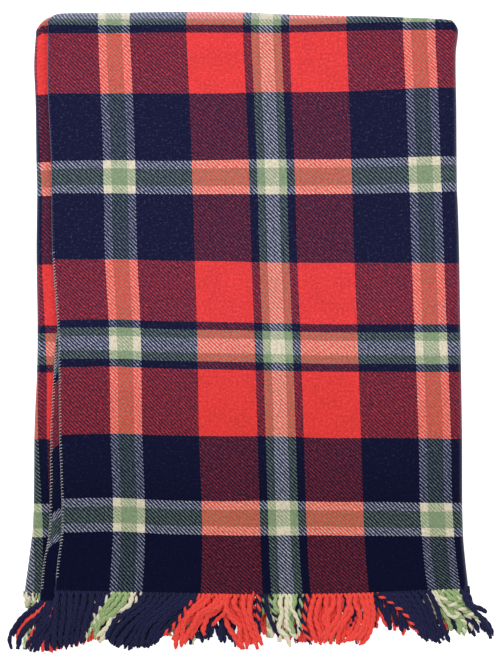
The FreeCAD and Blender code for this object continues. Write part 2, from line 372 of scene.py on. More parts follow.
M, GU, GW, COLS = whole()
dv = np.gradient(M, axis=0)
du = np.gradient(M, axis=1)
N = np.cross(dv, du)
N /= np.linalg.norm(N, axis=-1, keepdims=True)
ROWS = M.shape[0]


# ------------------------------------------------------------------ mesh helper
def mesh_object(name, verts, faces, uv, materials, mat_index=None, normals=None):
    """verts (n,3); faces: (m,4) with -1 in the last place for a triangle; uv per corner."""
    me = bpy.data.meshes.new(name)
    verts = np.array(verts, float)
    verts[:, 2] = np.maximum(verts[:, 2], 0.0)  # nothing sinks into the table
    tri = faces[:, 3] < 0
    counts = np.where(tri, 3, 4)
    keep = np.ones(faces.shape, bool)
    keep[tri, 3] = False
    loops = faces[keep]
    me.vertices.add(len(verts))
    me.vertices.foreach_set("co", np.ascontiguousarray(verts, np.float32).ravel())
    me.loops.add(len(loops))
    me.loops.foreach_set("vertex_index", loops.astype(np.int32))
    me.polygons.add(len(faces))
    me.polygons.foreach_set("loop_start", np.concatenate([[0], np.cumsum(counts)[:-1]]).astype(np.int32))
    me.polygons.foreach_set("use_smooth", np.ones(len(faces), bool))
    if mat_index is not None:
        me.polygons.foreach_set("material_index", mat_index.astype(np.int32))
    layer = me.uv_layers.new(name="cloth")
    layer.data.foreach_set("uv", np.ascontiguousarray(uv[keep], np.float32).ravel())
    me.update(calc_edges=True)
    if normals is not None:
        me.normals_split_custom_set(normals[keep].astype(np.float32).tolist())
        # how far the cloth turns from flat, as folded: a mask for the painted sheen at the folds
        turn = np.zeros(len(verts))
        np.maximum.at(turn, loops, np.abs(normals[keep][:, 2]))
        fold_sheen = me.attributes.new("fold_sheen", "FLOAT", "POINT")
        fold_sheen.data.foreach_set("value", np.clip((1 - turn) * 1.5 - 0.20, 0, 1).astype(np.float32))
    for m in materials:
        me.materials.append(m)
    ob = bpy.data.objects.new(name, me)
    bpy.context.scene.collection.objects.link(ob)
    return ob


# ------------------------------------------------------------------ materials
P_DOMAIN = 0.25
NAVY = (0.0008, 0.0017, 0.0205)
RED = (0.830, 0.0440, 0.0320)
GREEN = (0.245, 0.335, 0.185)
CREAM = (0.770, 0.700, 0.520)


def powered(c):
    return tuple(v ** P_DOMAIN for v in c) + (1.0,)


def node(nt, kind, **values):
    n = nt.nodes.new(kind)
    for k, v in values.items():
        if k.startswith("in_"):
            key = k[3:]
            n.inputs[int(key) if key.isdigit() else key].default_value = v
        else:
            setattr(n, k, v)
    return n


def math_node(nt, op, a, b=None, c=None, clamp=False):
    n = nt.nodes.new("ShaderNodeMath")
    n.operation = op
    n.use_clamp = clamp
    for i, v in enumerate((a, b, c)):
        if v is None:
            continue
        if isinstance(v, (int, float)):
            n.inputs[i].default_value = v
        else:
            nt.links.new(v, n.inputs[i])
    return n.outputs[0]


def ramp_node(nt, fac, stops, mode="CONSTANT"):
    n = nt.nodes.new("ShaderNodeValToRGB")
    n.color_ramp.interpolation = mode
    el = n.color_ramp.elements
    while len(el) > 1:
        el.remove(el[-1])
    el[0].position, el[0].color = stops[0]
    for pos, col in stops[1:]:
        e = el.new(pos)
        e.color = col
    nt.links.new(fac, n.inputs[0])
    return n.outputs[0]


def mix_colour(nt, fac, a, b, blend="MIX"):
    n = nt.nodes.new("ShaderNodeMix")
    n.data_type = "RGBA"
    n.blend_type = blend
    for sock, v in ((n.inputs[0], fac), (n.inputs[6], a), (n.inputs[7], b)):
        if isinstance(v, (int, float)):
            sock.default_value = v
        elif isinstance(v, tuple):
            sock.default_value = v
        else:
            nt.links.new(v, sock)
    return n.outputs[2]


def stripes(nt, at, first, bands):
    """Colour of the stripe at a count of yarns: each band starts at its number."""
    col = first
    for start, c in bands:
        col = mix_colour(nt, math_node(nt, "GREATER_THAN", at, float(start)), col, c)
    return col


def tartan(name, reverse):
    m = bpy.data.materials.new(name)
    m.use_nodes = True
    nt = m.node_tree
    nt.nodes.clear()
    out = nt.nodes.new("ShaderNodeOutputMaterial")
    bsdf = node(nt, "ShaderNodeBsdfPrincipled")
    bsdf.inputs["Roughness"].default_value = 0.92
    bsdf.inputs["Specular IOR Level"].default_value = 0.10
    bsdf.inputs["Sheen Weight"].default_value = 0.030
    bsdf.inputs["Sheen Roughness"].default_value = 0.45
    bsdf.inputs["Sheen Tint"].default_value = (0.75, 0.80, 1.0, 1.0)
    nt.links.new(bsdf.outputs[0], out.inputs[0])
    uv = node(nt, "ShaderNodeUVMap", uv_map="cloth")
    # fine unevenness of the yarn, in ends
    big = node(nt, "ShaderNodeVectorMath", operation="SCALE")
    nt.links.new(uv.outputs[0], big.inputs[0])
    big.inputs["Scale"].default_value = 1000.0
    wob = node(nt, "ShaderNodeTexNoise", in_Scale=0.35, in_Detail=2.0)
    nt.links.new(big.outputs[0], wob.inputs["Vector"])
    off = node(nt, "ShaderNodeVectorMath", operation="SUBTRACT")
    nt.links.new(wob.outputs["Color"], off.inputs[0])
    off.inputs[1].default_value = (0.5, 0.5, 0.5)
    offs = node(nt, "ShaderNodeVectorMath", operation="SCALE")
    nt.links.new(off.outputs[0], offs.inputs[0])
    offs.inputs["Scale"].default_value = 1.1
    add = node(nt, "ShaderNodeVectorMath", operation="ADD")
    nt.links.new(big.outputs[0], add.inputs[0])
    nt.links.new(offs.outputs[0], add.inputs[1])
    sep = node(nt, "ShaderNodeSeparateXYZ")
    nt.links.new(add.outputs[0], sep.inputs[0])
    u, w = sep.outputs[0], sep.outputs[1]
    # warp colours: the sett repeats every 306 ends and mirrors at each pivot
    pw = math_node(nt, "PINGPONG", math_node(nt, "ADD", u, -117.0 + 3060.0), 153.0)
    g, wt, nv, rd = powered(GREEN), powered(CREAM), powered(NAVY), powered(RED)
    warp = stripes(nt, pw, g, ((8, wt), (16, nv), (73, rd), (130, nv), (138, g), (146, wt)))
    aw = math_node(nt, "ABSOLUTE", w)
    weft = stripes(nt, aw, wt, (
        (9.9, g), (15.9, nv), (23.75, rd), (84.4, nv), (151.8, wt), (159.8, g), (177.0, wt),
        (185.0, nv), (251.3, rd), (311.8, nv), (319.8, g), (328.3, wt), (342.8, g), (351.3, nv),
        (359.1, rd), (425.8, nv), (490.8, wt), (499.3, g), (515.8, wt), (524.3, nv)))
    # 2/2 twill: each yarn floats over two, one step further on every pick
    iu, iw = math_node(nt, "FLOOR", u), math_node(nt, "FLOOR", w)
    step = math_node(nt, "FLOORED_MODULO", math_node(nt, "SUBTRACT", iu, iw), 4.0)
    hard = math_node(nt, "LESS_THAN", step, 1.5)
    # the nap blurs the steps into diagonal wales
    diag = math_node(nt, "MULTIPLY", math_node(nt, "SUBTRACT", u, w), math.pi / 2)
    soft = math_node(nt, "SINE", math_node(nt, "ADD", diag, -0.785))
    soft = math_node(nt, "MULTIPLY_ADD", soft, 0.75, 0.5, clamp=True)
    over = math_node(nt, "ADD", math_node(nt, "MULTIPLY", hard, 0.5), math_node(nt, "MULTIPLY", soft, 0.5))
    if reverse:
        over = math_node(nt, "SUBTRACT", 1.0, over)
    # napping pulls fibres of one yarn over the next, so the pale one never covers fully
    fuzz = node(nt, "ShaderNodeTexNoise", in_Scale=0.42, in_Detail=3.0, in_Roughness=0.7)
    nt.links.new(big.outputs[0], fuzz.inputs["Vector"])
    lum = []
    for c in (warp, weft):
        d = node(nt, "ShaderNodeVectorMath", operation="DOT_PRODUCT")
        nt.links.new(c, d.inputs[0])
        d.inputs[1].default_value = (0.25, 0.65, 0.10)
        lum.append(d.outputs["Value"])
    pale_warp = math_node(nt, "GREATER_THAN", lum[0], lum[1])
    wf = nt.nodes.new("ShaderNodeMix")
    wf.data_type = "FLOAT"
    nt.links.new(pale_warp, wf.inputs[0])
    nt.links.new(math_node(nt, "SUBTRACT", 1.0, over), wf.inputs[2])
    nt.links.new(over, wf.inputs[3])
    dark_c = mix_colour(nt, pale_warp, warp, weft)
    pale_c = mix_colour(nt, pale_warp, weft, warp)
    pale_l = math_node(nt, "MAXIMUM", lum[0], lum[1])
    dark_l = math_node(nt, "MINIMUM", lum[0], lum[1])
    bright = math_node(nt, "GREATER_THAN", pale_l, 0.66)
    mean = math_node(nt, "MULTIPLY_ADD", bright, -0.135, 0.590)
    mean = math_node(nt, "SUBTRACT", mean, math_node(nt, "MULTIPLY", pale_warp,
                                                      math_node(nt, "MULTIPLY_ADD", bright, -0.055, 0.160)))
    middle = math_node(nt, "MULTIPLY", math_node(nt, "GREATER_THAN", pw, 138.0), pale_warp)
    mean = math_node(nt, "MULTIPLY_ADD", middle, 0.09, mean)
    centre = math_node(nt, "MULTIPLY", math_node(nt, "GREATER_THAN", pw, 146.0), pale_warp)
    mean = math_node(nt, "MULTIPLY_ADD", centre, 0.06, mean)
    span = math_node(nt, "MULTIPLY_ADD", bright, 0.41, 0.45)
    shown = math_node(nt, "SUBTRACT", math_node(nt, "POWER", wf.outputs[0], 1.35), 0.45)
    shown = math_node(nt, "ADD", math_node(nt, "MULTIPLY", shown, span), mean)
    shown = math_node(nt, "ADD", shown, math_node(nt, "MULTIPLY_ADD", fuzz.outputs[0], 1.10, -0.55), clamp=True)
    # painted sheen: where pale yarn meets navy, the pale colour is tinted cool, for the bluish sheen of the nap there
    navy_sheen_tint = math_node(nt, "MULTIPLY", math_node(nt, "GREATER_THAN", pale_l, 0.80),
                     math_node(nt, "LESS_THAN", dark_l, 0.45))
    pale_c = mix_colour(nt, math_node(nt, "MULTIPLY", navy_sheen_tint, 0.6), pale_c, (0.885, 0.905, 0.930, 1.0))
    colour = mix_colour(nt, shown, dark_c, pale_c)
    sq = node(nt, "ShaderNodeVectorMath", operation="MULTIPLY")
    nt.links.new(colour, sq.inputs[0])
    nt.links.new(colour, sq.inputs[1])
    sq2 = node(nt, "ShaderNodeVectorMath", operation="MULTIPLY")
    nt.links.new(sq.outputs[0], sq2.inputs[0])
    nt.links.new(sq.outputs[0], sq2.inputs[1])
    # unevenness of dye and nap: coarse, and at the scale of the yarn
    coarse = node(nt, "ShaderNodeTexNoise", in_Scale=0.05, in_Detail=3.0)
    nt.links.new(big.outputs[0], coarse.inputs["Vector"])
    fine = node(nt, "ShaderNodeTexNoise", in_Scale=0.40, in_Detail=3.0, in_Roughness=0.75)
    nt.links.new(big.outputs[0], fine.inputs["Vector"])
    fv = node(nt, "ShaderNodeMapping")
    nt.links.new(big.outputs[0], fv.inputs["Vector"])
    fv.inputs["Rotation"].default_value = (0, 0, 0.6)
    fv.inputs["Scale"].default_value = (0.16, 0.80, 1.0)
    fibre = node(nt, "ShaderNodeTexNoise", in_Scale=0.9, in_Detail=3.0, in_Roughness=0.8)
    nt.links.new(fv.outputs[0], fibre.inputs["Vector"])
    value = math_node(nt, "ADD", math_node(nt, "MULTIPLY_ADD", coarse.outputs[0], 0.22, 0.89),
                      math_node(nt, "MULTIPLY_ADD", fine.outputs[0], 1.5, -0.75))
    # painted shade: the cloth colour is made up to 14% darker towards the hem, for light that falls off away from the
    # top fold
    hem_shade = math_node(nt, "MULTIPLY_ADD", aw, 1 / 160.0, -2.05, clamp=True)
    value = math_node(nt, "MULTIPLY", value, math_node(nt, "MULTIPLY_ADD", hem_shade, -0.14, 1.0))
    lit = node(nt, "ShaderNodeVectorMath", operation="SCALE")
    nt.links.new(sq2.outputs[0], lit.inputs[0])
    nt.links.new(value, lit.inputs["Scale"])
    # pale loose fibre flecks over the dark ground, and a bluish painted sheen haze; both are painted brighter towards
    # the top fold and fainter towards the hem, for light falling from that side
    top_sheen = math_node(nt, "MULTIPLY_ADD", aw, -1 / 200.0, 2.55, clamp=True)
    top_sheen = math_node(nt, "MULTIPLY_ADD", top_sheen, 0.85, 0.15)
    fv2 = node(nt, "ShaderNodeMapping")
    nt.links.new(big.outputs[0], fv2.inputs["Vector"])
    fv2.inputs["Rotation"].default_value = (0, 0, -0.9)
    fv2.inputs["Scale"].default_value = (0.15, 0.75, 1.0)
    fibre2 = node(nt, "ShaderNodeTexNoise", in_Scale=0.8, in_Detail=3.0, in_Roughness=0.8)
    nt.links.new(fv2.outputs[0], fibre2.inputs["Vector"])
    thin = math_node(nt, "ADD", math_node(nt, "MULTIPLY_ADD", fibre.outputs[0], 11.0, -6.9, clamp=True),
                     math_node(nt, "MULTIPLY_ADD", fibre2.outputs[0], 11.0, -6.9, clamp=True))
    thin = math_node(nt, "ADD", thin, math_node(nt, "MULTIPLY_ADD", fine.outputs[0], 8.0, -4.6, clamp=True))
    # painted sheen: a bluish haze mixed over the cloth, strongest towards the top
    sheen_haze = mix_colour(nt, math_node(nt, "MULTIPLY", top_sheen, 0.060), lit.outputs[0], (0.095, 0.105, 0.30, 1.0))
    haze = mix_colour(nt, math_node(nt, "MULTIPLY", math_node(nt, "MULTIPLY", thin, top_sheen), 0.150), sheen_haze,
                      (0.30, 0.32, 0.62, 1.0))
    # painted sheen: at the folds the colour is mixed towards pale blue, the top fold palest, as if lit from that side
    edge = nt.nodes.new("ShaderNodeAttribute")
    edge.attribute_name = "fold_sheen"
    rim = edge.outputs["Fac"]
    crown = math_node(nt, "MULTIPLY_ADD", aw, -1 / 14.0, 1.0, clamp=True)
    rim = math_node(nt, "ADD", math_node(nt, "MULTIPLY", rim, 0.22), math_node(nt, "MULTIPLY", crown, 0.38))
    rim = math_node(nt, "MULTIPLY", rim, math_node(nt, "MULTIPLY_ADD", fibre.outputs[0], 2.4, -0.25, clamp=True))
    haze = mix_colour(nt, rim, haze, (0.50, 0.53, 0.66, 1.0))
    nt.links.new(haze, bsdf.inputs["Base Color"])
    # relief: rounded floats and the fuzz on them
    fu = math_node(nt, "FRACT", u)
    fw = math_node(nt, "FRACT", w)
    ru = math_node(nt, "SINE", math_node(nt, "MULTIPLY", fu, math.pi))
    rw = math_node(nt, "SINE", math_node(nt, "MULTIPLY", fw, math.pi))
    rnd = math_node(nt, "ADD", math_node(nt, "MULTIPLY", ru, hard),
                    math_node(nt, "MULTIPLY", rw, math_node(nt, "SUBTRACT", 1.0, hard)))
    h = math_node(nt, "ADD", math_node(nt, "MULTIPLY", rnd, 0.45), math_node(nt, "MULTIPLY", over, 0.35))
    h = math_node(nt, "ADD", h, math_node(nt, "MULTIPLY", fine.outputs[0], 0.9))
    h = math_node(nt, "ADD", h, math_node(nt, "MULTIPLY", fibre.outputs[0], 0.5))
    bump = node(nt, "ShaderNodeBump", in_Strength=0.55, in_Distance=0.00045)
    nt.links.new(h, bump.inputs["Height"])
    nt.links.new(bump.outputs[0], bsdf.inputs["Normal"])
    return m


def yarn(name, colour, groove_shade):
    """Twisted fringe yarn; the uv map runs along the ply (x) and round it (y)."""
    m = bpy.data.materials.new(name)
    m.use_nodes = True
    nt = m.node_tree
    nt.nodes.clear()
    out = nt.nodes.new("ShaderNodeOutputMaterial")
    bsdf = node(nt, "ShaderNodeBsdfPrincipled")
    bsdf.inputs["Roughness"].default_value = 0.88
    bsdf.inputs["Specular IOR Level"].default_value = 0.12
    bsdf.inputs["Sheen Weight"].default_value = 0.06
    bsdf.inputs["Sheen Roughness"].default_value = 0.4
    nt.links.new(bsdf.outputs[0], out.inputs[0])
    uv = node(nt, "ShaderNodeUVMap", uv_map="cloth")
    sep = node(nt, "ShaderNodeSeparateXYZ")
    nt.links.new(uv.outputs[0], sep.inputs[0])
    nz = node(nt, "ShaderNodeTexNoise", in_Scale=14.0, in_Detail=3.0)
    nt.links.new(uv.outputs[0], nz.inputs["Vector"])
    # four fine singles laid helically in each ply; the colour mixes a lit tone and a darker tone along them, painted
    # highlight and painted shade of the twist
    ph = math_node(nt, "ADD", math_node(nt, "MULTIPLY", sep.outputs[0], 95.0),
                   math_node(nt, "MULTIPLY", sep.outputs[1], 4 * 2 * math.pi))
    ph = math_node(nt, "ADD", ph, math_node(nt, "MULTIPLY", nz.outputs[0], 2.2))
    wave = math_node(nt, "MULTIPLY_ADD", math_node(nt, "SINE", ph), 0.5, 0.5)
    mp = node(nt, "ShaderNodeMapping")
    nt.links.new(uv.outputs[0], mp.inputs["Vector"])
    mp.inputs["Scale"].default_value = (30.0, 9.0, 1.0)
    fz = node(nt, "ShaderNodeTexNoise", in_Scale=3.0, in_Detail=4.0, in_Roughness=0.75)
    nt.links.new(mp.outputs[0], fz.inputs["Vector"])
    t = math_node(nt, "ADD", math_node(nt, "MULTIPLY", wave, 0.55),
                  math_node(nt, "MULTIPLY", fz.outputs[0], 0.9))
    t = math_node(nt, "ADD", t, -0.25, clamp=True)
    col = mix_colour(nt, t, groove_shade + (1.0,), colour + (1.0,))
    nt.links.new(col, bsdf.inputs["Base Color"])
    bump = node(nt, "ShaderNodeBump", in_Strength=0.5, in_Distance=0.0004)
    nt.links.new(math_node(nt, "ADD", wave, fz.outputs[0]), bump.inputs["Height"])
    nt.links.new(bump.outputs[0], bsdf.inputs["Normal"])
    return m


TWILL_LO, TWILL_HI = 0.13, 0.88
FACE = tartan("tartan_face", False)
BACK = tartan("tartan_reverse", True)
# each yarn: its lit tone, then its painted shaded tone
YARNS = [
    yarn("yarn_navy", (0.024, 0.026, 0.088), (0.0060, 0.0068, 0.030)),
    yarn("yarn_red", (0.975, 0.105, 0.080), (0.80, 0.048, 0.038)),
    yarn("yarn_green", (0.470, 0.600, 0.300), (0.220, 0.340, 0.130)),
    yarn("yarn_cream", (0.890, 0.850, 0.660), (0.66, 0.61, 0.42)),
]
THREAD = yarn("edge_thread", (0.90, 0.85, 0.78), (0.60, 0.56, 0.52))
HALO = yarn("edge_nap", (0.20, 0.22, 0.36), (0.05, 0.06, 0.13))


def warp_index(u):
    """Index into YARNS of the warp yarn at u."""
    a = abs((u - 117.0 + 3060.0 + 153.0) % 306.0 - 153.0)
    for lim, k in ((8, 2), (16, 3), (73, 0), (130, 1), (138, 0), (146, 2)):
        if a < lim:
            return k
    return 3


# ------------------------------------------------------------------ cloth shells
def shell(name, c0, c1, round_left, round_right):
    """Closed sheet from columns c0..c1 of the whole cloth, with its thickness."""
    sl = slice(c0, c1 + 1)
    m, n, u, w = M[:, sl], N[:, sl], GU[:, sl], GW[:, sl]
    R, C = m.shape[:2]
    t = np.full((R, C), T / 2000.0)
    ends = np.minimum(np.arange(R), R - 1 - np.arange(R))[:, None]
    t = t * (0.72 + 0.28 * smooth(ends, 0, 2.2))
    if round_left:
        t = t * (0.82 + 0.18 * smooth(np.arange(C)[None, :], 0, 1.5))
    if round_right:
        t = t * (0.82 + 0.18 * smooth(C - 1 - np.arange(C)[None, :], 0, 1.5))
    top, bot = m + n * t[..., None], m - n * t[..., None]
    idx = np.arange(R * C).reshape(R, C)
    a, b, c, d = idx[:-1, :-1], idx[:-1, 1:], idx[1:, 1:], idx[1:, :-1]
    # outward winding follows n = dv x du
    f_top = np.stack([a, d, c, b], -1).reshape(-1, 4)
    f_bot = np.stack([a, b, c, d], -1).reshape(-1, 4) + R * C
    uvg = np.stack([u / 1000.0, w / 1000.0], -1).reshape(-1, 2)
    verts = [top.reshape(-1, 3), bot.reshape(-1, 3)]
    nrm_t, nrm_b = n.reshape(-1, 3), -n.reshape(-1, 3)
    faces = [f_top, f_bot]
    uvs = [uvg[f_top], uvg[f_bot - R * C]]
    normals = [nrm_t[f_top], nrm_b[f_bot - R * C]]
    mats = [np.zeros(len(f_top), int), np.ones(len(f_bot), int)]
    count = 2 * R * C

    def rim(ids, inward, rounded):
        """ids: grid indices along one edge, ordered so that the wall faces outward."""
        nonlocal count
        e = (m.reshape(-1, 3)[ids] - m.reshape(-1, 3)[inward])
        e = e / np.linalg.norm(e, axis=1, keepdims=True)
        nn = nrm_t[ids]
        uv1 = uvg[ids]
        if rounded:
            ring = m.reshape(-1, 3)[ids] + e * 0.0009
            verts.append(ring)
            rid = count + np.arange(len(ids))
            count += len(ids)
            bands = ((ids, rid, nn * 0.5 + e * 0.8, e), (rid, ids + R * C, e, -nn * 0.5 + e * 0.8))
        else:
            bands = ((ids, ids + R * C, e, e),)
        for k, (p, q, n0, n1) in enumerate(bands):
            n0 = n0 / np.linalg.norm(n0, axis=1, keepdims=True)
            n1 = n1 / np.linalg.norm(n1, axis=1, keepdims=True)
            f = np.stack([p[:-1], q[:-1], q[1:], p[1:]], -1)
            faces.append(f)
            uvs.append(np.stack([uv1[:-1], uv1[:-1], uv1[1:], uv1[1:]], 1))
            normals.append(np.stack([n0[:-1], n1[:-1], n1[1:], n0[1:]], 1))
            mats.append(np.full(len(f), k if rounded else 0))

    rim(idx[:, 0], idx[:, 1], round_left)
    rim(idx[::-1, -1], idx[::-1, -2], round_right)
    rim(idx[0, ::-1], idx[1, ::-1], True)
    rim(idx[-1, :], idx[-2, :], True)
    ob = mesh_object(name, np.concatenate(verts), np.concatenate(faces), np.concatenate(uvs), [FACE, BACK],
                     np.concatenate(mats), np.concatenate(normals))
    return ob


def half(name):
    a, b = COLS[name]
    return a, (a + b) // 2, b


cloths = {}
cloths["front"] = shell("front_flap_cloth", COLS["front"][0], COLS["front"][1], True, False)
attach(cloths["front"], "front_flap")
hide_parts("front_panel_outer", "front_panel_inner", "front_cross_fold")
a, mid_r, b = half("right")
cloths["right_up"] = shell("right_fold_cloth_upper", a, mid_r, False, False)
cloths["right_low"] = shell("right_fold_cloth_lower", mid_r, b, False, False)
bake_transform(cloths["right_up"])
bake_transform(cloths["right_low"])
for k in ("right_up", "right_low"):
    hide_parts("right_fold_outer", "right_fold_inner", "right_fold_corner")
cloths["base"] = shell("bottom_cloth", COLS["base"][0], COLS["base"][1], False, False)
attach(cloths["base"], "base")
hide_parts("bottom_panel_outer", "bottom_panel_inner", "bottom_cross_fold")
a, mid_l, b = half("left")
cloths["left_low"] = shell("left_fold_cloth_lower", a, mid_l, False, False)
cloths["left_up"] = shell("left_fold_cloth_upper", mid_l, b, False, False)
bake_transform(cloths["left_low"])
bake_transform(cloths["left_up"])
for k in ("left_up", "left_low"):
    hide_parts("left_fold_outer", "left_fold_inner", "left_fold_corner")
cloths["tucked"] = shell("tucked_flap_cloth", COLS["tucked"][0], COLS["tucked"][1], False, True)
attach(cloths["tucked"], "tucked_flap")
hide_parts("tucked_panel_outer", "tucked_panel_inner", "tucked_cross_fold")


# ------------------------------------------------------------------ fringe
def unit(v):
    return v / np.linalg.norm(v, axis=-1, keepdims=True)


class Yarns:
    """Collects closed tubes and makes one mesh of them."""

    def __init__(self):
        self.v, self.f, self.uv, self.m, self.n = [], [], [], [], 0

    def tube(self, path, radius, index, sides=8, flat=1.0, uv0=(0.0, 0.0), squash_axis=None):
        n = len(path)
        tan = unit(np.gradient(path, axis=0))
        ref = np.array([0.0, 0.0, 1.0])
        side = np.cross(tan, ref)
        ln = np.linalg.norm(side, axis=1, keepdims=True)
        side = np.where(ln > 1e-3, side / np.maximum(ln, 1e-9), [1.0, 0, 0])
        up = np.cross(side, tan)
        ang = np.linspace(0, 2 * math.pi, sides, endpoint=False)
        rad = np.broadcast_to(radius, (n,))[:, None, None]
        ring = (side[:, None] * np.cos(ang)[None, :, None] + up[:, None] * np.sin(ang)[None, :, None] * flat) * rad
        pts = (path[:, None] + ring).reshape(-1, 3)
        start = self.n
        idx = start + np.arange(n * sides).reshape(n, sides)
        nxt = np.roll(idx, -1, axis=1)
        f = np.stack([idx[:-1], idx[1:], nxt[1:], nxt[:-1]], -1).reshape(-1, 4)
        along = np.concatenate([[0], np.cumsum(np.linalg.norm(np.diff(path, axis=0), axis=1))])
        ga = (np.arange(sides) / sides)
        gb = (np.arange(sides) + 1) / sides
        ua, ub = along[:-1, None], along[1:, None]
        uv = np.stack([
            np.stack([ua + 0 * ga, 0 * ua + ga], -1), np.stack([ub + 0 * ga, 0 * ub + ga], -1),
            np.stack([ub + 0 * gb, 0 * ub + gb], -1), np.stack([ua + 0 * gb, 0 * ua + gb], -1)], -2)
        uv = uv.reshape(-1, 4, 2) * [10.0, 1.0] + np.array(uv0)
        # ends
        c0, c1 = start + n * sides, start + n * sides + 1
        tips = np.stack([path[0] - tan[0] * rad[0, 0, 0] * 0.4, path[-1] + tan[-1] * rad[-1, 0, 0] * 0.6])
        e0 = np.stack([idx[0], nxt[0], np.full(sides, c0), np.full(sides, -1)], -1)
        e1 = np.stack([nxt[-1], idx[-1], np.full(sides, c1), np.full(sides, -1)], -1)
        uve = np.zeros((sides, 4, 2)) + np.array(uv0)
        self.v += [pts, tips]
        self.f += [f, e0, e1]
        self.uv += [uv, uve, uve]
        self.m.append(np.full(len(f) + 2 * sides, index))
        self.n += n * sides + 2

    def make(self, name, materials):
        return mesh_object(name, np.concatenate(self.v), np.concatenate(self.f), np.concatenate(self.uv),
                           materials, np.concatenate(self.m))


PLY = {"N": 0, "R": 1, "G": 2, "C": 3}


def spline(points, n):
    """Smooth line through the points, evenly sampled."""
    p = np.asarray(points, float)
    d = np.concatenate([[0], np.cumsum(np.linalg.norm(np.diff(p, axis=0), axis=1))])
    fine = np.linspace(0, d[-1], 6 * n)
    q = np.stack([hermite(fine, list(d), list(p[:, i])) for i in range(3)], -1)
    e = np.concatenate([[0], np.cumsum(np.linalg.norm(np.diff(q, axis=0), axis=1))])
    at = np.linspace(0, e[-1], n)
    return np.stack([np.interp(at, e, q[:, i]) for i in range(3)], -1)


def strand(bag, points, plies, rng, n=40, fat=1.0, sides=8, wave=1.0):
    """One two-ply strand; the points start inside the hem and end at the tip."""
    c = spline(points, n)
    t = np.linspace(0, 1, n)
    s = np.concatenate([[0], np.cumsum(np.linalg.norm(np.diff(c, axis=0), axis=1))])
    tan = unit(np.gradient(c, axis=0))
    side = unit(np.cross(tan, [0, 0, 1.0]))
    up = np.cross(side, tan)
    ph = rng.uniform(0, 6.28, 4)
    wig = smooth(t, 0.12, 0.5) * wave * (0.00055 * np.sin(s * 190 + ph[0]) + 0.0010 * np.sin(s * 85 + ph[1]))
    lift = smooth(t, 0.15, 0.6) * 0.0007 * np.sin(s * 110 + ph[2])
    c = c + side * wig[:, None] + up * lift[:, None]
    same = plies[0] == plies[1]
    pitch = rng.uniform(0.0170, 0.0215) if same else rng.uniform(0.0125, 0.0145)
    gather = smooth(s, 0.002, 0.014)
    rh = (0.0026 * (1 - gather) + (0.00105 if same else 0.00150) * gather) * fat
    rad = (0.00175 * (1 - gather) + (0.00250 if same else 0.00205) * gather) * fat
    rad = rad * (1 - 0.62 * smooth(t, 0.90, 1.0)) * (1 + 0.045 * np.sin(s * 300 + ph[3]))
    a = 2 * math.pi * np.maximum(s - 0.006, 0) / pitch
    low = (rh * 0.75 + rad) * 0.86
    c[:, 2] = np.maximum(c[:, 2], low + 0.0005)
    for k in (0, 1):
        sgn = 1 if k == 0 else -1
        o = side * (np.cos(a) * rh * sgn)[:, None] + up * (np.sin(a) * rh * 0.75 * sgn)[:, None]
        bag.tube(c + o, rad, plies[k], sides=sides, flat=0.86, uv0=(rng.uniform(0, 5), rng.uniform(0, 1)))


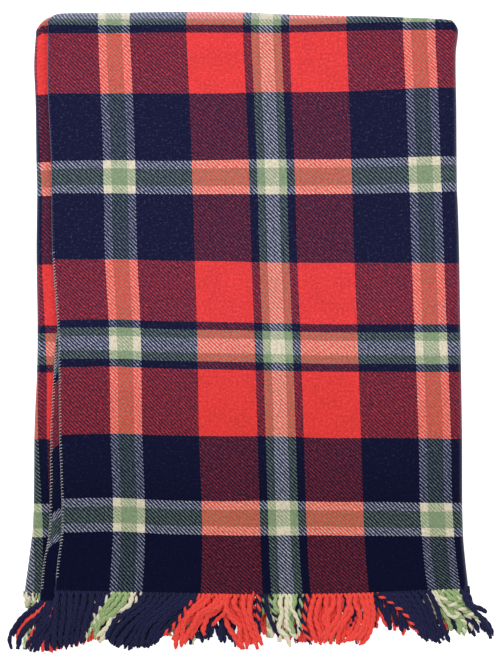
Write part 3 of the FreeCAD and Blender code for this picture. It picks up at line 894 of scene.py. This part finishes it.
# the front flap's own strands, one by one: plies, and the way each one lies
FRONT_STRANDS = [
    ("NN", 1, [(58, 596), (55.5, 606), (56, 616), (54.5, 630), (54.5, 641), (54, 651)]),
    ("NN", 1, [(64.5, 596), (63.6, 606), (62.7, 622), (60.5, 636), (60, 646)]),
    ("NN", 1, [(71, 596), (70.2, 606), (69.5, 622), (66.5, 638), (65.4, 650)]),
    ("NN", 1, [(78, 595), (76, 605), (73.5, 618), (71.5, 634), (70.7, 648)]),
    ("NN", 1, [(85, 594), (83.5, 604), (80, 616), (77.5, 630), (76, 647)]),
    ("NN", 1, [(92, 592.5), (91, 604), (87, 616), (83, 630), (80.8, 644)]),
    ("NN", 1, [(99, 591), (98.5, 600), (93.5, 611), (88, 622), (84.5, 634)]),
    ("NN", .9, [(105, 590), (102.5, 599), (97.5, 607), (92.5, 616), (88, 627), (87, 632)]),
    ("NC", .9, [(110.5, 589), (106.8, 598.5), (100.7, 605.5), (95.7, 611.5), (92, 618), (89, 626), (86.5, 632.5)]),
    ("GG", 1, [(116, 588.5), (111, 599.5), (103.5, 609.5), (96.5, 620), (93.5, 631)]),
    ("GG", 1, [(121.8, 589), (116.5, 601), (108.5, 610), (100.5, 619), (96, 629)]),
    ("GG", 1, [(127.6, 589), (123, 602), (113, 613), (103.5, 621), (98.5, 628)]),
    ("NC", .9, [(139.5, 589.5), (137, 599), (129.5, 607), (119.5, 613), (112, 621), (108, 629)]),
    ("CC", .95, [(133.5, 589), (132, 597), (129.5, 605), (121.5, 609.5), (113, 612.5), (110.5, 619), (107.5, 626),
                 (102, 632.5), (95.5, 638.5)]),
    ("NN", 1, [(146, 591.5), (140, 602.5), (126, 613.5), (114.5, 622.5), (107.5, 634), (104.8, 640)]),
    ("NN", 1, [(153, 592), (146, 604), (132, 615), (120, 626.5), (114, 637), (112, 645)]),
    ("NN", 1, [(160, 592), (151.5, 605), (137, 619), (125.8, 631), (119, 642), (117, 648)]),
    ("NN", 1, [(168, 592.5), (157.5, 605), (142, 620), (132, 634), (124, 646)]),
    ("NN", 1, [(176, 593), (163, 607), (146.5, 619.5), (139, 634), (133, 648)]),
    ("NN", 1, [(183.5, 593.5), (169, 607), (153, 620.5), (144.5, 631), (141, 647)]),
    ("NN", 1, [(190.5, 594), (175, 607), (160.5, 620.5), (151.5, 632.5), (147, 644)]),
    ("NN", 1, [(197, 594.5), (182, 604.5), (170.5, 615), (160.3, 625.5), (153.5, 638)]),
    ("RN", .9, [(201.5, 596), (188, 604), (184, 612.5), (174.5, 626), (167.5, 632), (157, 638.5)]),
    ("RR", .8, [(228, 598), (225, 611.5), (217.3, 619), (212, 627)]),
    ("RR", 1, [(225.5, 597), (221, 605), (209, 612), (205.5, 621.5), (203, 631), (204.5, 636)]),
    ("RR", 1, [(223, 595.5), (214, 606), (200, 616.5), (196.3, 628), (189, 639)]),
    ("RR", 1.05, [(218, 595), (214.5, 603.5), (200, 613.5), (192, 627), (184.5, 638), (180.6, 646)]),
    ("RR", 1.05, [(211.5, 594.5), (203, 604), (191.5, 613), (184.5, 621.7), (182, 634), (180.5, 648)]),
    ("RR", 1.05, [(205.5, 594.5), (199, 602), (188.6, 612), (181.5, 621), (177.5, 634), (175, 650)]),
    ("RR", 1, [(236.5, 595), (233.8, 604), (239.5, 612.6), (243.5, 622), (246, 634), (247, 650)]),
    ("RR", 1, [(229.5, 594), (225.5, 602), (228.5, 612.5), (232.8, 620), (239.5, 626), (239, 634), (240, 641),
               (244.5, 650)]),
    ("RR", 1, [(244, 595), (243, 604), (245, 615), (248.5, 625), (254, 638), (258, 650)]),
    ("RN", .9, [(258.5, 596), (259, 608), (258, 620), (256.5, 630)]),
    ("RR", 1.05, [(251, 595.5), (249.5, 608), (250.6, 620), (254.5, 629), (260, 640), (262.5, 646)]),
    ("NN", .8, [(265.5, 595), (267, 606), (270, 618), (275, 630), (279, 638)]),
    ("NG", .85, [(272, 594), (271.5, 602), (273.5, 611), (277.5, 620.5), (281, 630)]),
    ("GG", .85, [(276.5, 594.5), (274.5, 604), (278.5, 611), (284, 614), (287, 622)]),
    ("CC", .95, [(281.5, 595), (280, 604), (281.3, 612.5), (280.5, 621), (279.5, 630), (285, 635), (288.5, 641),
                 (290.5, 648)]),
    ("CC", .95, [(287.6, 595.5), (286.8, 604), (286.4, 612.6), (287.6, 620.6), (288.7, 628), (293.3, 634.5),
                 (297.5, 639)]),
    ("GG", .95, [(295, 594.5), (294.5, 603), (292, 611), (288, 618), (291.5, 626), (294.4, 636)]),
    ("CC", .85, [(291.8, 596), (291, 605), (294.5, 613.5), (297.9, 621), (299.3, 629), (298, 637)]),
    ("NG", .85, [(301.5, 595), (300.8, 606), (299.8, 617), (300.5, 624), (301, 632)]),
    ("RN", .9, [(308.5, 595.5), (306, 606), (305, 617), (304.3, 627), (308, 636), (311, 646)]),
    ("RR", 1, [(315.5, 594.5), (311.7, 605.7), (310, 616.6), (311.5, 628), (314.5, 637), (317, 643)]),
    ("RR", 1, [(321.5, 595), (318.6, 604), (316.2, 613.7), (315.5, 622), (319.5, 630), (321.5, 639)]),
    ("RR", 1, [(333.3, 595.5), (333.5, 605), (329, 613.7), (324, 620), (329, 629), (326, 639), (324, 644)]),
    ("RR", 1, [(327.5, 595.5), (326, 606), (327.5, 616.6), (328.5, 624), (326, 633), (318, 641)]),
    ("RR", 1, [(340, 595), (339.3, 605), (339, 615), (334.5, 624), (328, 632.6), (320.5, 642)]),
    ("RR", 1, [(347, 594.5), (349.5, 605), (346, 613), (340.4, 621.7), (336.3, 629), (331.5, 637), (331, 645)]),
    ("RR", .95, [(351.5, 594.5), (349, 604), (352, 611), (347.5, 618.3), (342, 626), (338.5, 635), (338, 645)]),
    ("RR", 1, [(356, 594.5), (355.5, 604), (359, 611), (360, 619.5), (356.5, 630), (351, 637), (344, 643)]),
    ("RR", 1, [(361, 594), (363, 602.5), (365.3, 610), (365.3, 619.5), (361.8, 629.5), (355.5, 637), (349, 642.5)]),
    ("RR", .95, [(366, 593.5), (367.5, 603), (368.8, 612.6), (369, 622), (365, 633), (357.5, 642)]),
    ("RR", 1, [(370.8, 593), (372, 603), (373.3, 612), (373.3, 621), (371, 631), (366, 640), (359.5, 646)]),
    ("NR", .95, [(376, 592), (381, 596.5), (390.5, 602), (398, 607.5), (405.5, 613.7), (411, 621), (416.5, 630),
                 (423, 639)]),
    ("NN", 1, [(384, 592), (390, 597.5), (400, 604), (408.5, 612), (416, 623), (421.5, 633), (425.5, 641)]),
    ("NN", 1, [(391.5, 591.5), (398, 598), (407, 606), (414, 615), (420.5, 627), (428, 642)]),
    ("NN", 1, [(399, 591), (405.5, 599), (413, 608.5), (419.5, 620), (425.5, 631), (433, 642)]),
    ("NN", 1, [(407, 590.5), (412.5, 600), (419, 611), (425, 623), (430.5, 634), (437, 643)]),
    ("NN", 1, [(414.5, 590), (419.5, 601), (425.5, 613), (431, 626), (436.5, 636), (441.5, 644)]),
    ("NN", 1, [(422, 589.5), (427, 601), (432, 613), (436, 625), (441, 636), (444.5, 641)]),
    ("NN", .95, [(429, 589.5), (433, 599), (438, 610.5), (441.5, 621), (445, 632), (450, 643)]),
    ("CC", .75, [(433.5, 588.5), (435.5, 597), (440.5, 605), (447.5, 611), (455, 613)]),
    ("CC", .7, [(437, 590), (438.5, 599), (443.5, 609), (452.5, 617), (460.5, 615.5)]),
    ("GC", .85, [(457, 593), (459.5, 599), (464, 605), (470, 611)]),
    ("GG", 1, [(446, 591), (450, 597.5), (458.8, 602), (466.3, 604), (473.5, 606)]),
    ("GG", 1, [(451.5, 592), (456, 596), (462, 597.5), (468, 600.5), (473.5, 604.5)]),
    ("GC", 1.15, [(441, 590), (443, 598), (450, 604), (459, 607.5), (467.5, 612.5), (476, 616.5), (481, 623)]),
]
INNER_STRANDS = [
    ("NN", 1, [(43, 602), (37, 607), (26, 616), (17, 627), (11.5, 637)]),
    ("NN", .8, [(45, 602), (34.5, 607), (22, 617), (13, 629), (9.5, 640), (11, 650)]),
    ("RR", .7, [(47, 603), (36.5, 613), (26, 621), (19.5, 630), (16.5, 641)]),
    ("NN", 1, [(50, 604), (40, 616), (28, 627), (19, 639), (16, 650)]),
    ("RR", .75, [(54, 605), (48, 618), (38, 626), (31, 636), (29, 648)]),
    ("NN", 1, [(55, 605), (46, 622), (36, 634), (31, 650)]),
    ("NN", 1, [(52, 604), (43, 620), (34, 634), (24, 650)]),
    ("NN", 1, [(58, 605), (50, 620), (42, 634), (37, 652)]),
    ("NN", 1, [(60, 606), (54, 622), (48, 638), (45, 652)]),
    ("NN", .9, [(49, 604), (38, 614), (28, 625), (20, 636), (18, 650)]),
    ("NN", 1, [(346, 600), (347, 611), (346.5, 622), (343, 634)]),
    ("NN", 1, [(353, 600), (354, 611), (352.5, 622), (349, 633)]),
    ("RR", .9, [(328, 600), (329, 612), (326, 624), (322, 636)]),
]
RIGHT_TOP = [("NN", .95, [(463, 597), (468.6, 606), (476, 607.5), (482, 610), (487.5, 613.5)])]
RIGHT_MID = [("NN", .95, [(467, 600), (474, 610), (481, 619), (487.5, 628.6), (491.5, 640)])]
RIGHT_LOW = [("NN", .9, [(464, 600), (476, 612), (484.6, 621), (490.4, 628), (494, 637)])]

# stray strands that show from below at the right corner
BASE_RIGHT = [
    ("RR", .9, [(434, 598), (438, 612), (443, 623), (448, 631)]),
    ("RN", .9, [(439, 598), (444, 612), (449, 623), (452, 632)]),
    ("NN", 1, [(443, 598), (449, 611), (454, 622), (458, 632)]),
    ("NN", 1, [(448, 598), (455, 611), (461, 622), (465, 633)]),
    ("NN", 1, [(453, 598), (461, 610), (468, 621), (472, 634)]),
    ("NN", 1, [(458, 598), (466, 609), (474, 620), (479, 634)]),
    ("NN", 1, [(461, 598), (472, 610), (480, 620), (486, 633)]),
]

# tip x and spread for the layers below, against the root's x
TIPS = {
    "front_inner": [(40, 12), (58, 34), (70, 48), (80, 57), (100, 83), (112, 92), (125, 100), (150, 121), (170, 139),
                    (190, 158), (200, 170), (212, 184), (220, 190), (224, 243), (240, 250), (262, 259), (280, 277),
                    (300, 298), (330, 322), (350, 340), (370, 362), (380, 384), (400, 406), (420, 428), (430, 441),
                    (436, 452), (445, 460), (455, 468), (462, 476)],
    "tucked_outer": [(24, 13), (34, 22), (45, 33), (60, 50), (100, 92), (150, 140), (200, 190), (245, 243)],
    "tucked_inner": [(26, 14), (40, 27), (80, 74), (200, 200), (245, 247)],
    "base_inner": [(24, 15), (60, 54), (250, 251), (400, 411), (440, 462), (462, 484)],
    "base_outer": [(24, 16), (60, 54), (250, 253), (400, 408), (440, 459), (462, 480)],
}
TIP_Z = {"front": (10.5, 9.5), "front_inner": (7.8, 6.0), "tucked_outer": (6.2, 6.2), "tucked_inner": (4.9, 4.9),
         "base_inner": (3.9, 3.9), "base_outer": (2.8, 2.8)}
bottom_line = curve([(8, 638), (15, 648), (25, 650), (50, 650), (62, 646), (80, 643), (92, 637), (100, 639),
                     (107, 638), (113, 643), (127, 646), (140, 646), (155, 641), (168, 634), (180, 642), (195, 642),
                     (213, 638), (225, 641), (240, 646), (262, 636), (272, 636), (282, 642), (300, 642), (312, 643),
                     (325, 641), (345, 641), (360, 640), (368, 634), (374, 627), (381, 624), (389, 627), (398, 629),
                     (405, 632), (417, 632), (430, 636), (440, 634), (450, 630), (459, 631), (468, 634), (474, 634),
                     (481, 633), (488, 632), (493, 630)])
STRAND_U = 6.6


def hem_at(px, cols, row, prev):
    """Point on the hem at plan x, and the direction the cloth leaves in."""
    cc = np.arange(cols[0], cols[1] + 1)
    xs = (M[row, cc, 0] - OX) / END + 250.5
    order = np.argsort(xs)
    xs, cc = xs[order], cc[order]
    root = np.array([np.interp(px, xs, M[row, cc, i]) for i in range(3)])
    back = np.array([np.interp(px, xs, M[prev, cc, i]) for i in range(3)])
    return root, unit(root - back), float(np.interp(px, xs, GU[row, cc]))


def listed(bag, rows, cols, outer, z_tip, rng, n=44):
    row, prev = (-1, -2) if outer else (0, 1)
    for plies, fat, pts in rows:
        root, lead, _ = hem_at(pts[0][0], cols, row, prev)
        z0 = root[2]
        zt = (z_tip + rng.uniform(-0.8, 1.2)) / 1000
        m = len(pts)
        way = [root - lead * 0.0040 - [0, 0, 0.0010], root + lead * 0.0010 - [0, 0, 0.0007]]
        for k in range(1, m):
            f = float(smooth(k / (m - 1), 0, 1.0))
            z = z0 + (zt - z0) * f + (0.0012 if 0 < k < m - 1 else 0) * rng.uniform(-0.3, 1)
            way.append(np.array([wx(pts[k][0]), wy(pts[k][1]), z]))
        strand(bag, way, [PLY[c] for c in plies], rng, n=n, fat=fat * (1.12 if plies == "NN" else 1.06), wave=0.55)


def filled(bag, layer, cols, outer, rng, n=30, lo=-1e9, hi=1e9, fat=0.95, step=STRAND_U):
    row, prev = (-1, -2) if outer else (0, 1)
    xs = np.sort((M[row, cols[0]:cols[1] + 1, 0] - OX) / END + 250.5)
    a, b = max(xs[0], lo), min(xs[-1], hi)
    k = max(1, int(round((b - a) / step)))
    tip_x = TIPS[layer]
    zl, zr = TIP_Z[layer]
    for px in a + (np.arange(k) + 0.5) * (b - a) / k:
        root, lead, u = hem_at(px, cols, row, prev)
        ex = float(np.interp(px, [t[0] for t in tip_x], [t[1] for t in tip_x])) + rng.normal(0, 1.6)
        ey = float(bottom_line(ex)) + rng.uniform(-3.5, 5.0)
        if px < 34 and layer != "front_inner":  # cut short beside the fold
            ex, ey = px - 2 + rng.uniform(-1, 1), 609 + rng.uniform(-3, 4)
        z = (zl + (zr - zl) * float(smooth(px, 240, 300)) + rng.uniform(-0.5, 0.6)) / 1000
        tip = np.array([wx(ex), wy(ey), z])
        span = np.linalg.norm(tip - root)
        q1 = root + lead * span * 0.30
        q1[2] = root[2] + (z - root[2]) * 0.25
        q2 = root + (tip - root) * 0.66 + np.array([rng.normal(0, 0.0035), 0, 0])
        q2[2] = root[2] + (z - root[2]) * 0.7
        ku = [warp_index(u + d) for d in (-1.9, 1.9)]
        strand(bag, [root - lead * 0.0040, root + lead * 0.0010, q1, q2, tip], ku, rng, n=n, fat=fat, sides=6,
               wave=1.2)


def finish_fringe(name, bag, body, nodes):
    ob = bag.make(name, YARNS)
    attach(ob, body)
    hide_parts(*nodes)
    return ob


FR, RI, BA, LE, TU = (COLS[k] for k in ("front", "right", "base", "left", "tucked"))
def one(name, seed, body, nodes, fill):
    rng = np.random.default_rng(seed)
    bag = Yarns()
    fill(bag, rng)
    return finish_fringe(name, bag, body, nodes)


def left_ends(degs, layer, body_rows):
    """Strands of the left fold at these angles round it, leading down and out."""
    ph = left.phi
    def fill(bag, rng):
        for d in degs:
            i = float(np.interp(math.radians(d), ph, np.arange(len(ph))))
            i0 = int(min(max(round(i), 0), len(ph) - 1))
            x, y, z, u = (getattr(left, q + layer)[-1, i0] for q in "xyzu")
            root = np.array([wx(x), wy(y), z / 1000])
            tip = np.array([wx(x + 1.5), wy(609 + rng.uniform(-3, 3)), 0.005])
            lead = unit(np.array([wx(x) - wx(getattr(left, "x" + layer)[-2, i0]), wy(y) - wy(getattr(left, "y" + layer)[-2, i0]), 0]))
            way = [root - lead * 0.004, root + lead * 0.001, root + (tip - root) * 0.35 + [0.001, 0, 0.001],
                   root + (tip - root) * 0.7, tip]
            strand(bag, way, [warp_index(u - 1.9), warp_index(u + 1.9)], rng, n=34, fat=0.9)
    return fill


fringes = [
    one("front_fringe_outer_yarn", 101, "front_flap", ["front_fringe_outer"],
        lambda bag, rng: listed(bag, FRONT_STRANDS, FR, True, 10.5, rng)),
    one("front_fringe_inner_yarn", 102, "front_flap", ["front_fringe_inner"],
        lambda bag, rng: (listed(bag, INNER_STRANDS, FR, False, 7.5, rng),
                          filled(bag, "front_inner", FR, False, rng, lo=60, fat=1.12, step=5.6))),
    one("right_fold_fringe_top", 103, "front_flap", ["right_fold_fringe"],
        lambda bag, rng: listed(bag, RIGHT_TOP, (RI[0], RI[0] + 7), True, 9.5, rng)),
    one("right_fold_fringe_mid", 104, "right_fold", ["right_fold_fringe"],
        lambda bag, rng: listed(bag, RIGHT_MID, (RI[0], RI[0] + 8), True, 6.0, rng)),
    one("right_fold_fringe_low", 105, "base", ["right_fold_fringe"],
        lambda bag, rng: listed(bag, RIGHT_LOW, (RI[0] + 10, RI[1]), True, 3.6, rng)),
    one("bottom_fringe_outer_yarn", 106, "base", ["bottom_fringe_outer"],
        lambda bag, rng: filled(bag, "base_outer", BA, True, rng, n=24)),
    one("bottom_fringe_inner_yarn", 107, "base", ["bottom_fringe_inner"],
        lambda bag, rng: (filled(bag, "base_inner", BA, False, rng, n=24, hi=432),
                          listed(bag, BASE_RIGHT, BA, False, 5.0, rng, n=30))),
    one("left_fold_fringe_low", 108, "base", ["left_fold_fringe"], left_ends((150,), "o", "base")),
    one("left_fold_fringe_mid", 109, "left_fold", ["left_fold_fringe"], left_ends((90,), "o", "left_fold")),
    one("left_fold_fringe_top", 112, "tucked_flap", ["left_fold_fringe"], left_ends((30,), "o", "tucked_flap")),
    one("tucked_fringe_outer_yarn", 110, "tucked_flap", ["tucked_fringe_outer"],
        lambda bag, rng: filled(bag, "tucked_outer", TU, True, rng, n=28)),
    one("tucked_fringe_inner_yarn", 111, "tucked_flap", ["tucked_fringe_inner"],
        lambda bag, rng: filled(bag, "tucked_inner", TU, False, rng, n=24)),
]


# ------------------------------------------------------------------ edge stitching
def stitching(name, col, inward, outer, body, node_name, seed):
    """Fine thread wrapped over a selvedge: slanted stitches, each one over the edge."""
    rng = np.random.default_rng(seed)
    half_row = ROWS // 2
    rows = np.arange(half_row + 8, ROWS - 2) if outer else np.arange(2, half_row - 8)
    m0, m1, n0 = M[rows, col], M[rows, inward], N[rows, col]
    s = np.concatenate([[0], np.cumsum(np.linalg.norm(np.diff(m0, axis=0), axis=1))])
    bag = Yarns()
    at = lambda arr, q: np.array([np.interp(q, s, arr[:, i]) for i in range(3)])
    q = 0.004
    e_all = unit(m0 - m1)
    while q < s[-1] - 0.006:
        step = rng.uniform(0.0036, 0.0044)
        reach = rng.uniform(0.0014, 0.0026)
        c0, c1 = at(m0, q), at(m0, q + 0.0021)
        e, nn = at(e_all, q), at(n0, q)
        h = T / 2000.0 * 0.9
        over = [c0 - e * reach + nn * (h + 0.0001), c0 - e * reach * 0.5 + nn * (h + 0.0004),
                c0 + e * 0.0003 + nn * (h + 0.0001), c0 + e * 0.0012 + (c1 - c0) * 0.5,
                c1 + e * 0.0003 - nn * (h + 0.0001), c1 - e * reach * 0.5 - nn * (h + 0.0003),
                c1 - e * reach - nn * (h - 0.0002)]
        over[0] = over[0] - nn * 0.0004
        pale = c0[1] < wy(256 + rng.uniform(-6, 6))
        bag.tube(np.array(over), 0.00038 if pale else 0.00026, 0 if pale else 1, sides=5, uv0=(rng.uniform(0, 3), 0))
        q += step
    # the nap stands along the very edge
    line = m0 + e_all * 0.0007 + n0 * 0.0006
    bag.tube(line, 0.00042, 1, sides=5)
    ob = bag.make(name, [THREAD, HALO])
    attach(ob, body)
    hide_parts(node_name)
    return ob


last = COLS["tucked"][1]
stitches = [
    stitching("front_edge_thread_outer", 0, 1, True, "front_flap", "front_selvedge_stitching_outer", 201),
    stitching("front_edge_thread_inner", 0, 1, False, "front_flap", "front_selvedge_stitching_inner", 202),
    stitching("tucked_edge_thread_outer", last, last - 1, True, "tucked_flap", "tucked_selvedge_stitching_outer", 203),
    stitching("tucked_edge_thread_inner", last, last - 1, False, "tucked_flap", "tucked_selvedge_stitching_inner", 204),
]

# ------------------------------------------------------------------ stage
def floor():
    me = bpy.data.meshes.new("floor")
    s = 30.0
    me.from_pydata([(-s, -s, 0), (s, -s, 0), (s, s, 0), (-s, s, 0)], [], [(0, 1, 2, 3)])
    ob = bpy.data.objects.new("floor", me)
    bpy.context.scene.collection.objects.link(ob)
    m = bpy.data.materials.new("floor_white")
    m.use_nodes = True
    b = m.node_tree.nodes["Principled BSDF"]
    b.inputs["Base Color"].default_value = (0.93, 0.93, 0.925, 1)
    b.inputs["Roughness"].default_value = 0.95
    b.inputs["Specular IOR Level"].default_value = 0.05
    b.inputs["Emission Color"].default_value = (1, 1, 1, 1)
    b.inputs["Emission Strength"].default_value = 0.75
    me.materials.append(m)
    return ob


floor_ob = floor()


def area(name, loc, target, size, energy, colour=(1, 1, 1)):
    li = bpy.data.lights.new(name, "AREA")
    li.shape = "DISK"
    li.size = size
    li.energy = energy
    li.color = colour
    ob = bpy.data.objects.new(name, li)
    bpy.context.scene.collection.objects.link(ob)
    ob.location = loc
    d = np.array(target, float) - np.array(loc, float)
    from mathutils import Vector
    ob.rotation_mode = "QUATERNION"
    ob.rotation_quaternion = Vector(d).to_track_quat("-Z", "Y")
    ob.visible_camera = False
    return ob


area("key", (-1.1, 1.9, 2.0), (0, 0.15, 0), 1.3, 44.0)
area("fill", (1.8, -0.6, 2.4), (0, 0, 0), 2.0, 18.0)
world = bpy.data.worlds.new("studio")
world.use_nodes = True
world.node_tree.nodes["Background"].inputs[0].default_value = (1, 1, 1, 1)
# soft light from all round; the backdrop itself is plain white
wt = world.node_tree
seen = wt.nodes.new("ShaderNodeLightPath")
level = math_node(wt, "MULTIPLY_ADD", seen.outputs["Is Camera Ray"], 0.60, 0.56)
wt.links.new(level, wt.nodes["Background"].inputs[1])
bpy.context.scene.world = world
bpy.context.scene.view_settings.view_transform = "Standard"
bpy.context.scene.view_settings.look = "None"

cam_data = bpy.data.cameras.new("camera")
cam_data.lens = 150.0
cam_data.sensor_width = 36.0
cam_data.sensor_fit = "AUTO"
cam = bpy.data.objects.new("camera", cam_data)
bpy.context.scene.collection.objects.link(cam)
H = 672 * END
cam.location = (float(wx(250.0)), float(wy(336.0)), 0.020 + H * 150.0 / 36.0)
cam.rotation_euler = (0, 0, 0)
cam_data.clip_end = 100.0
bpy.context.scene.camera = cam
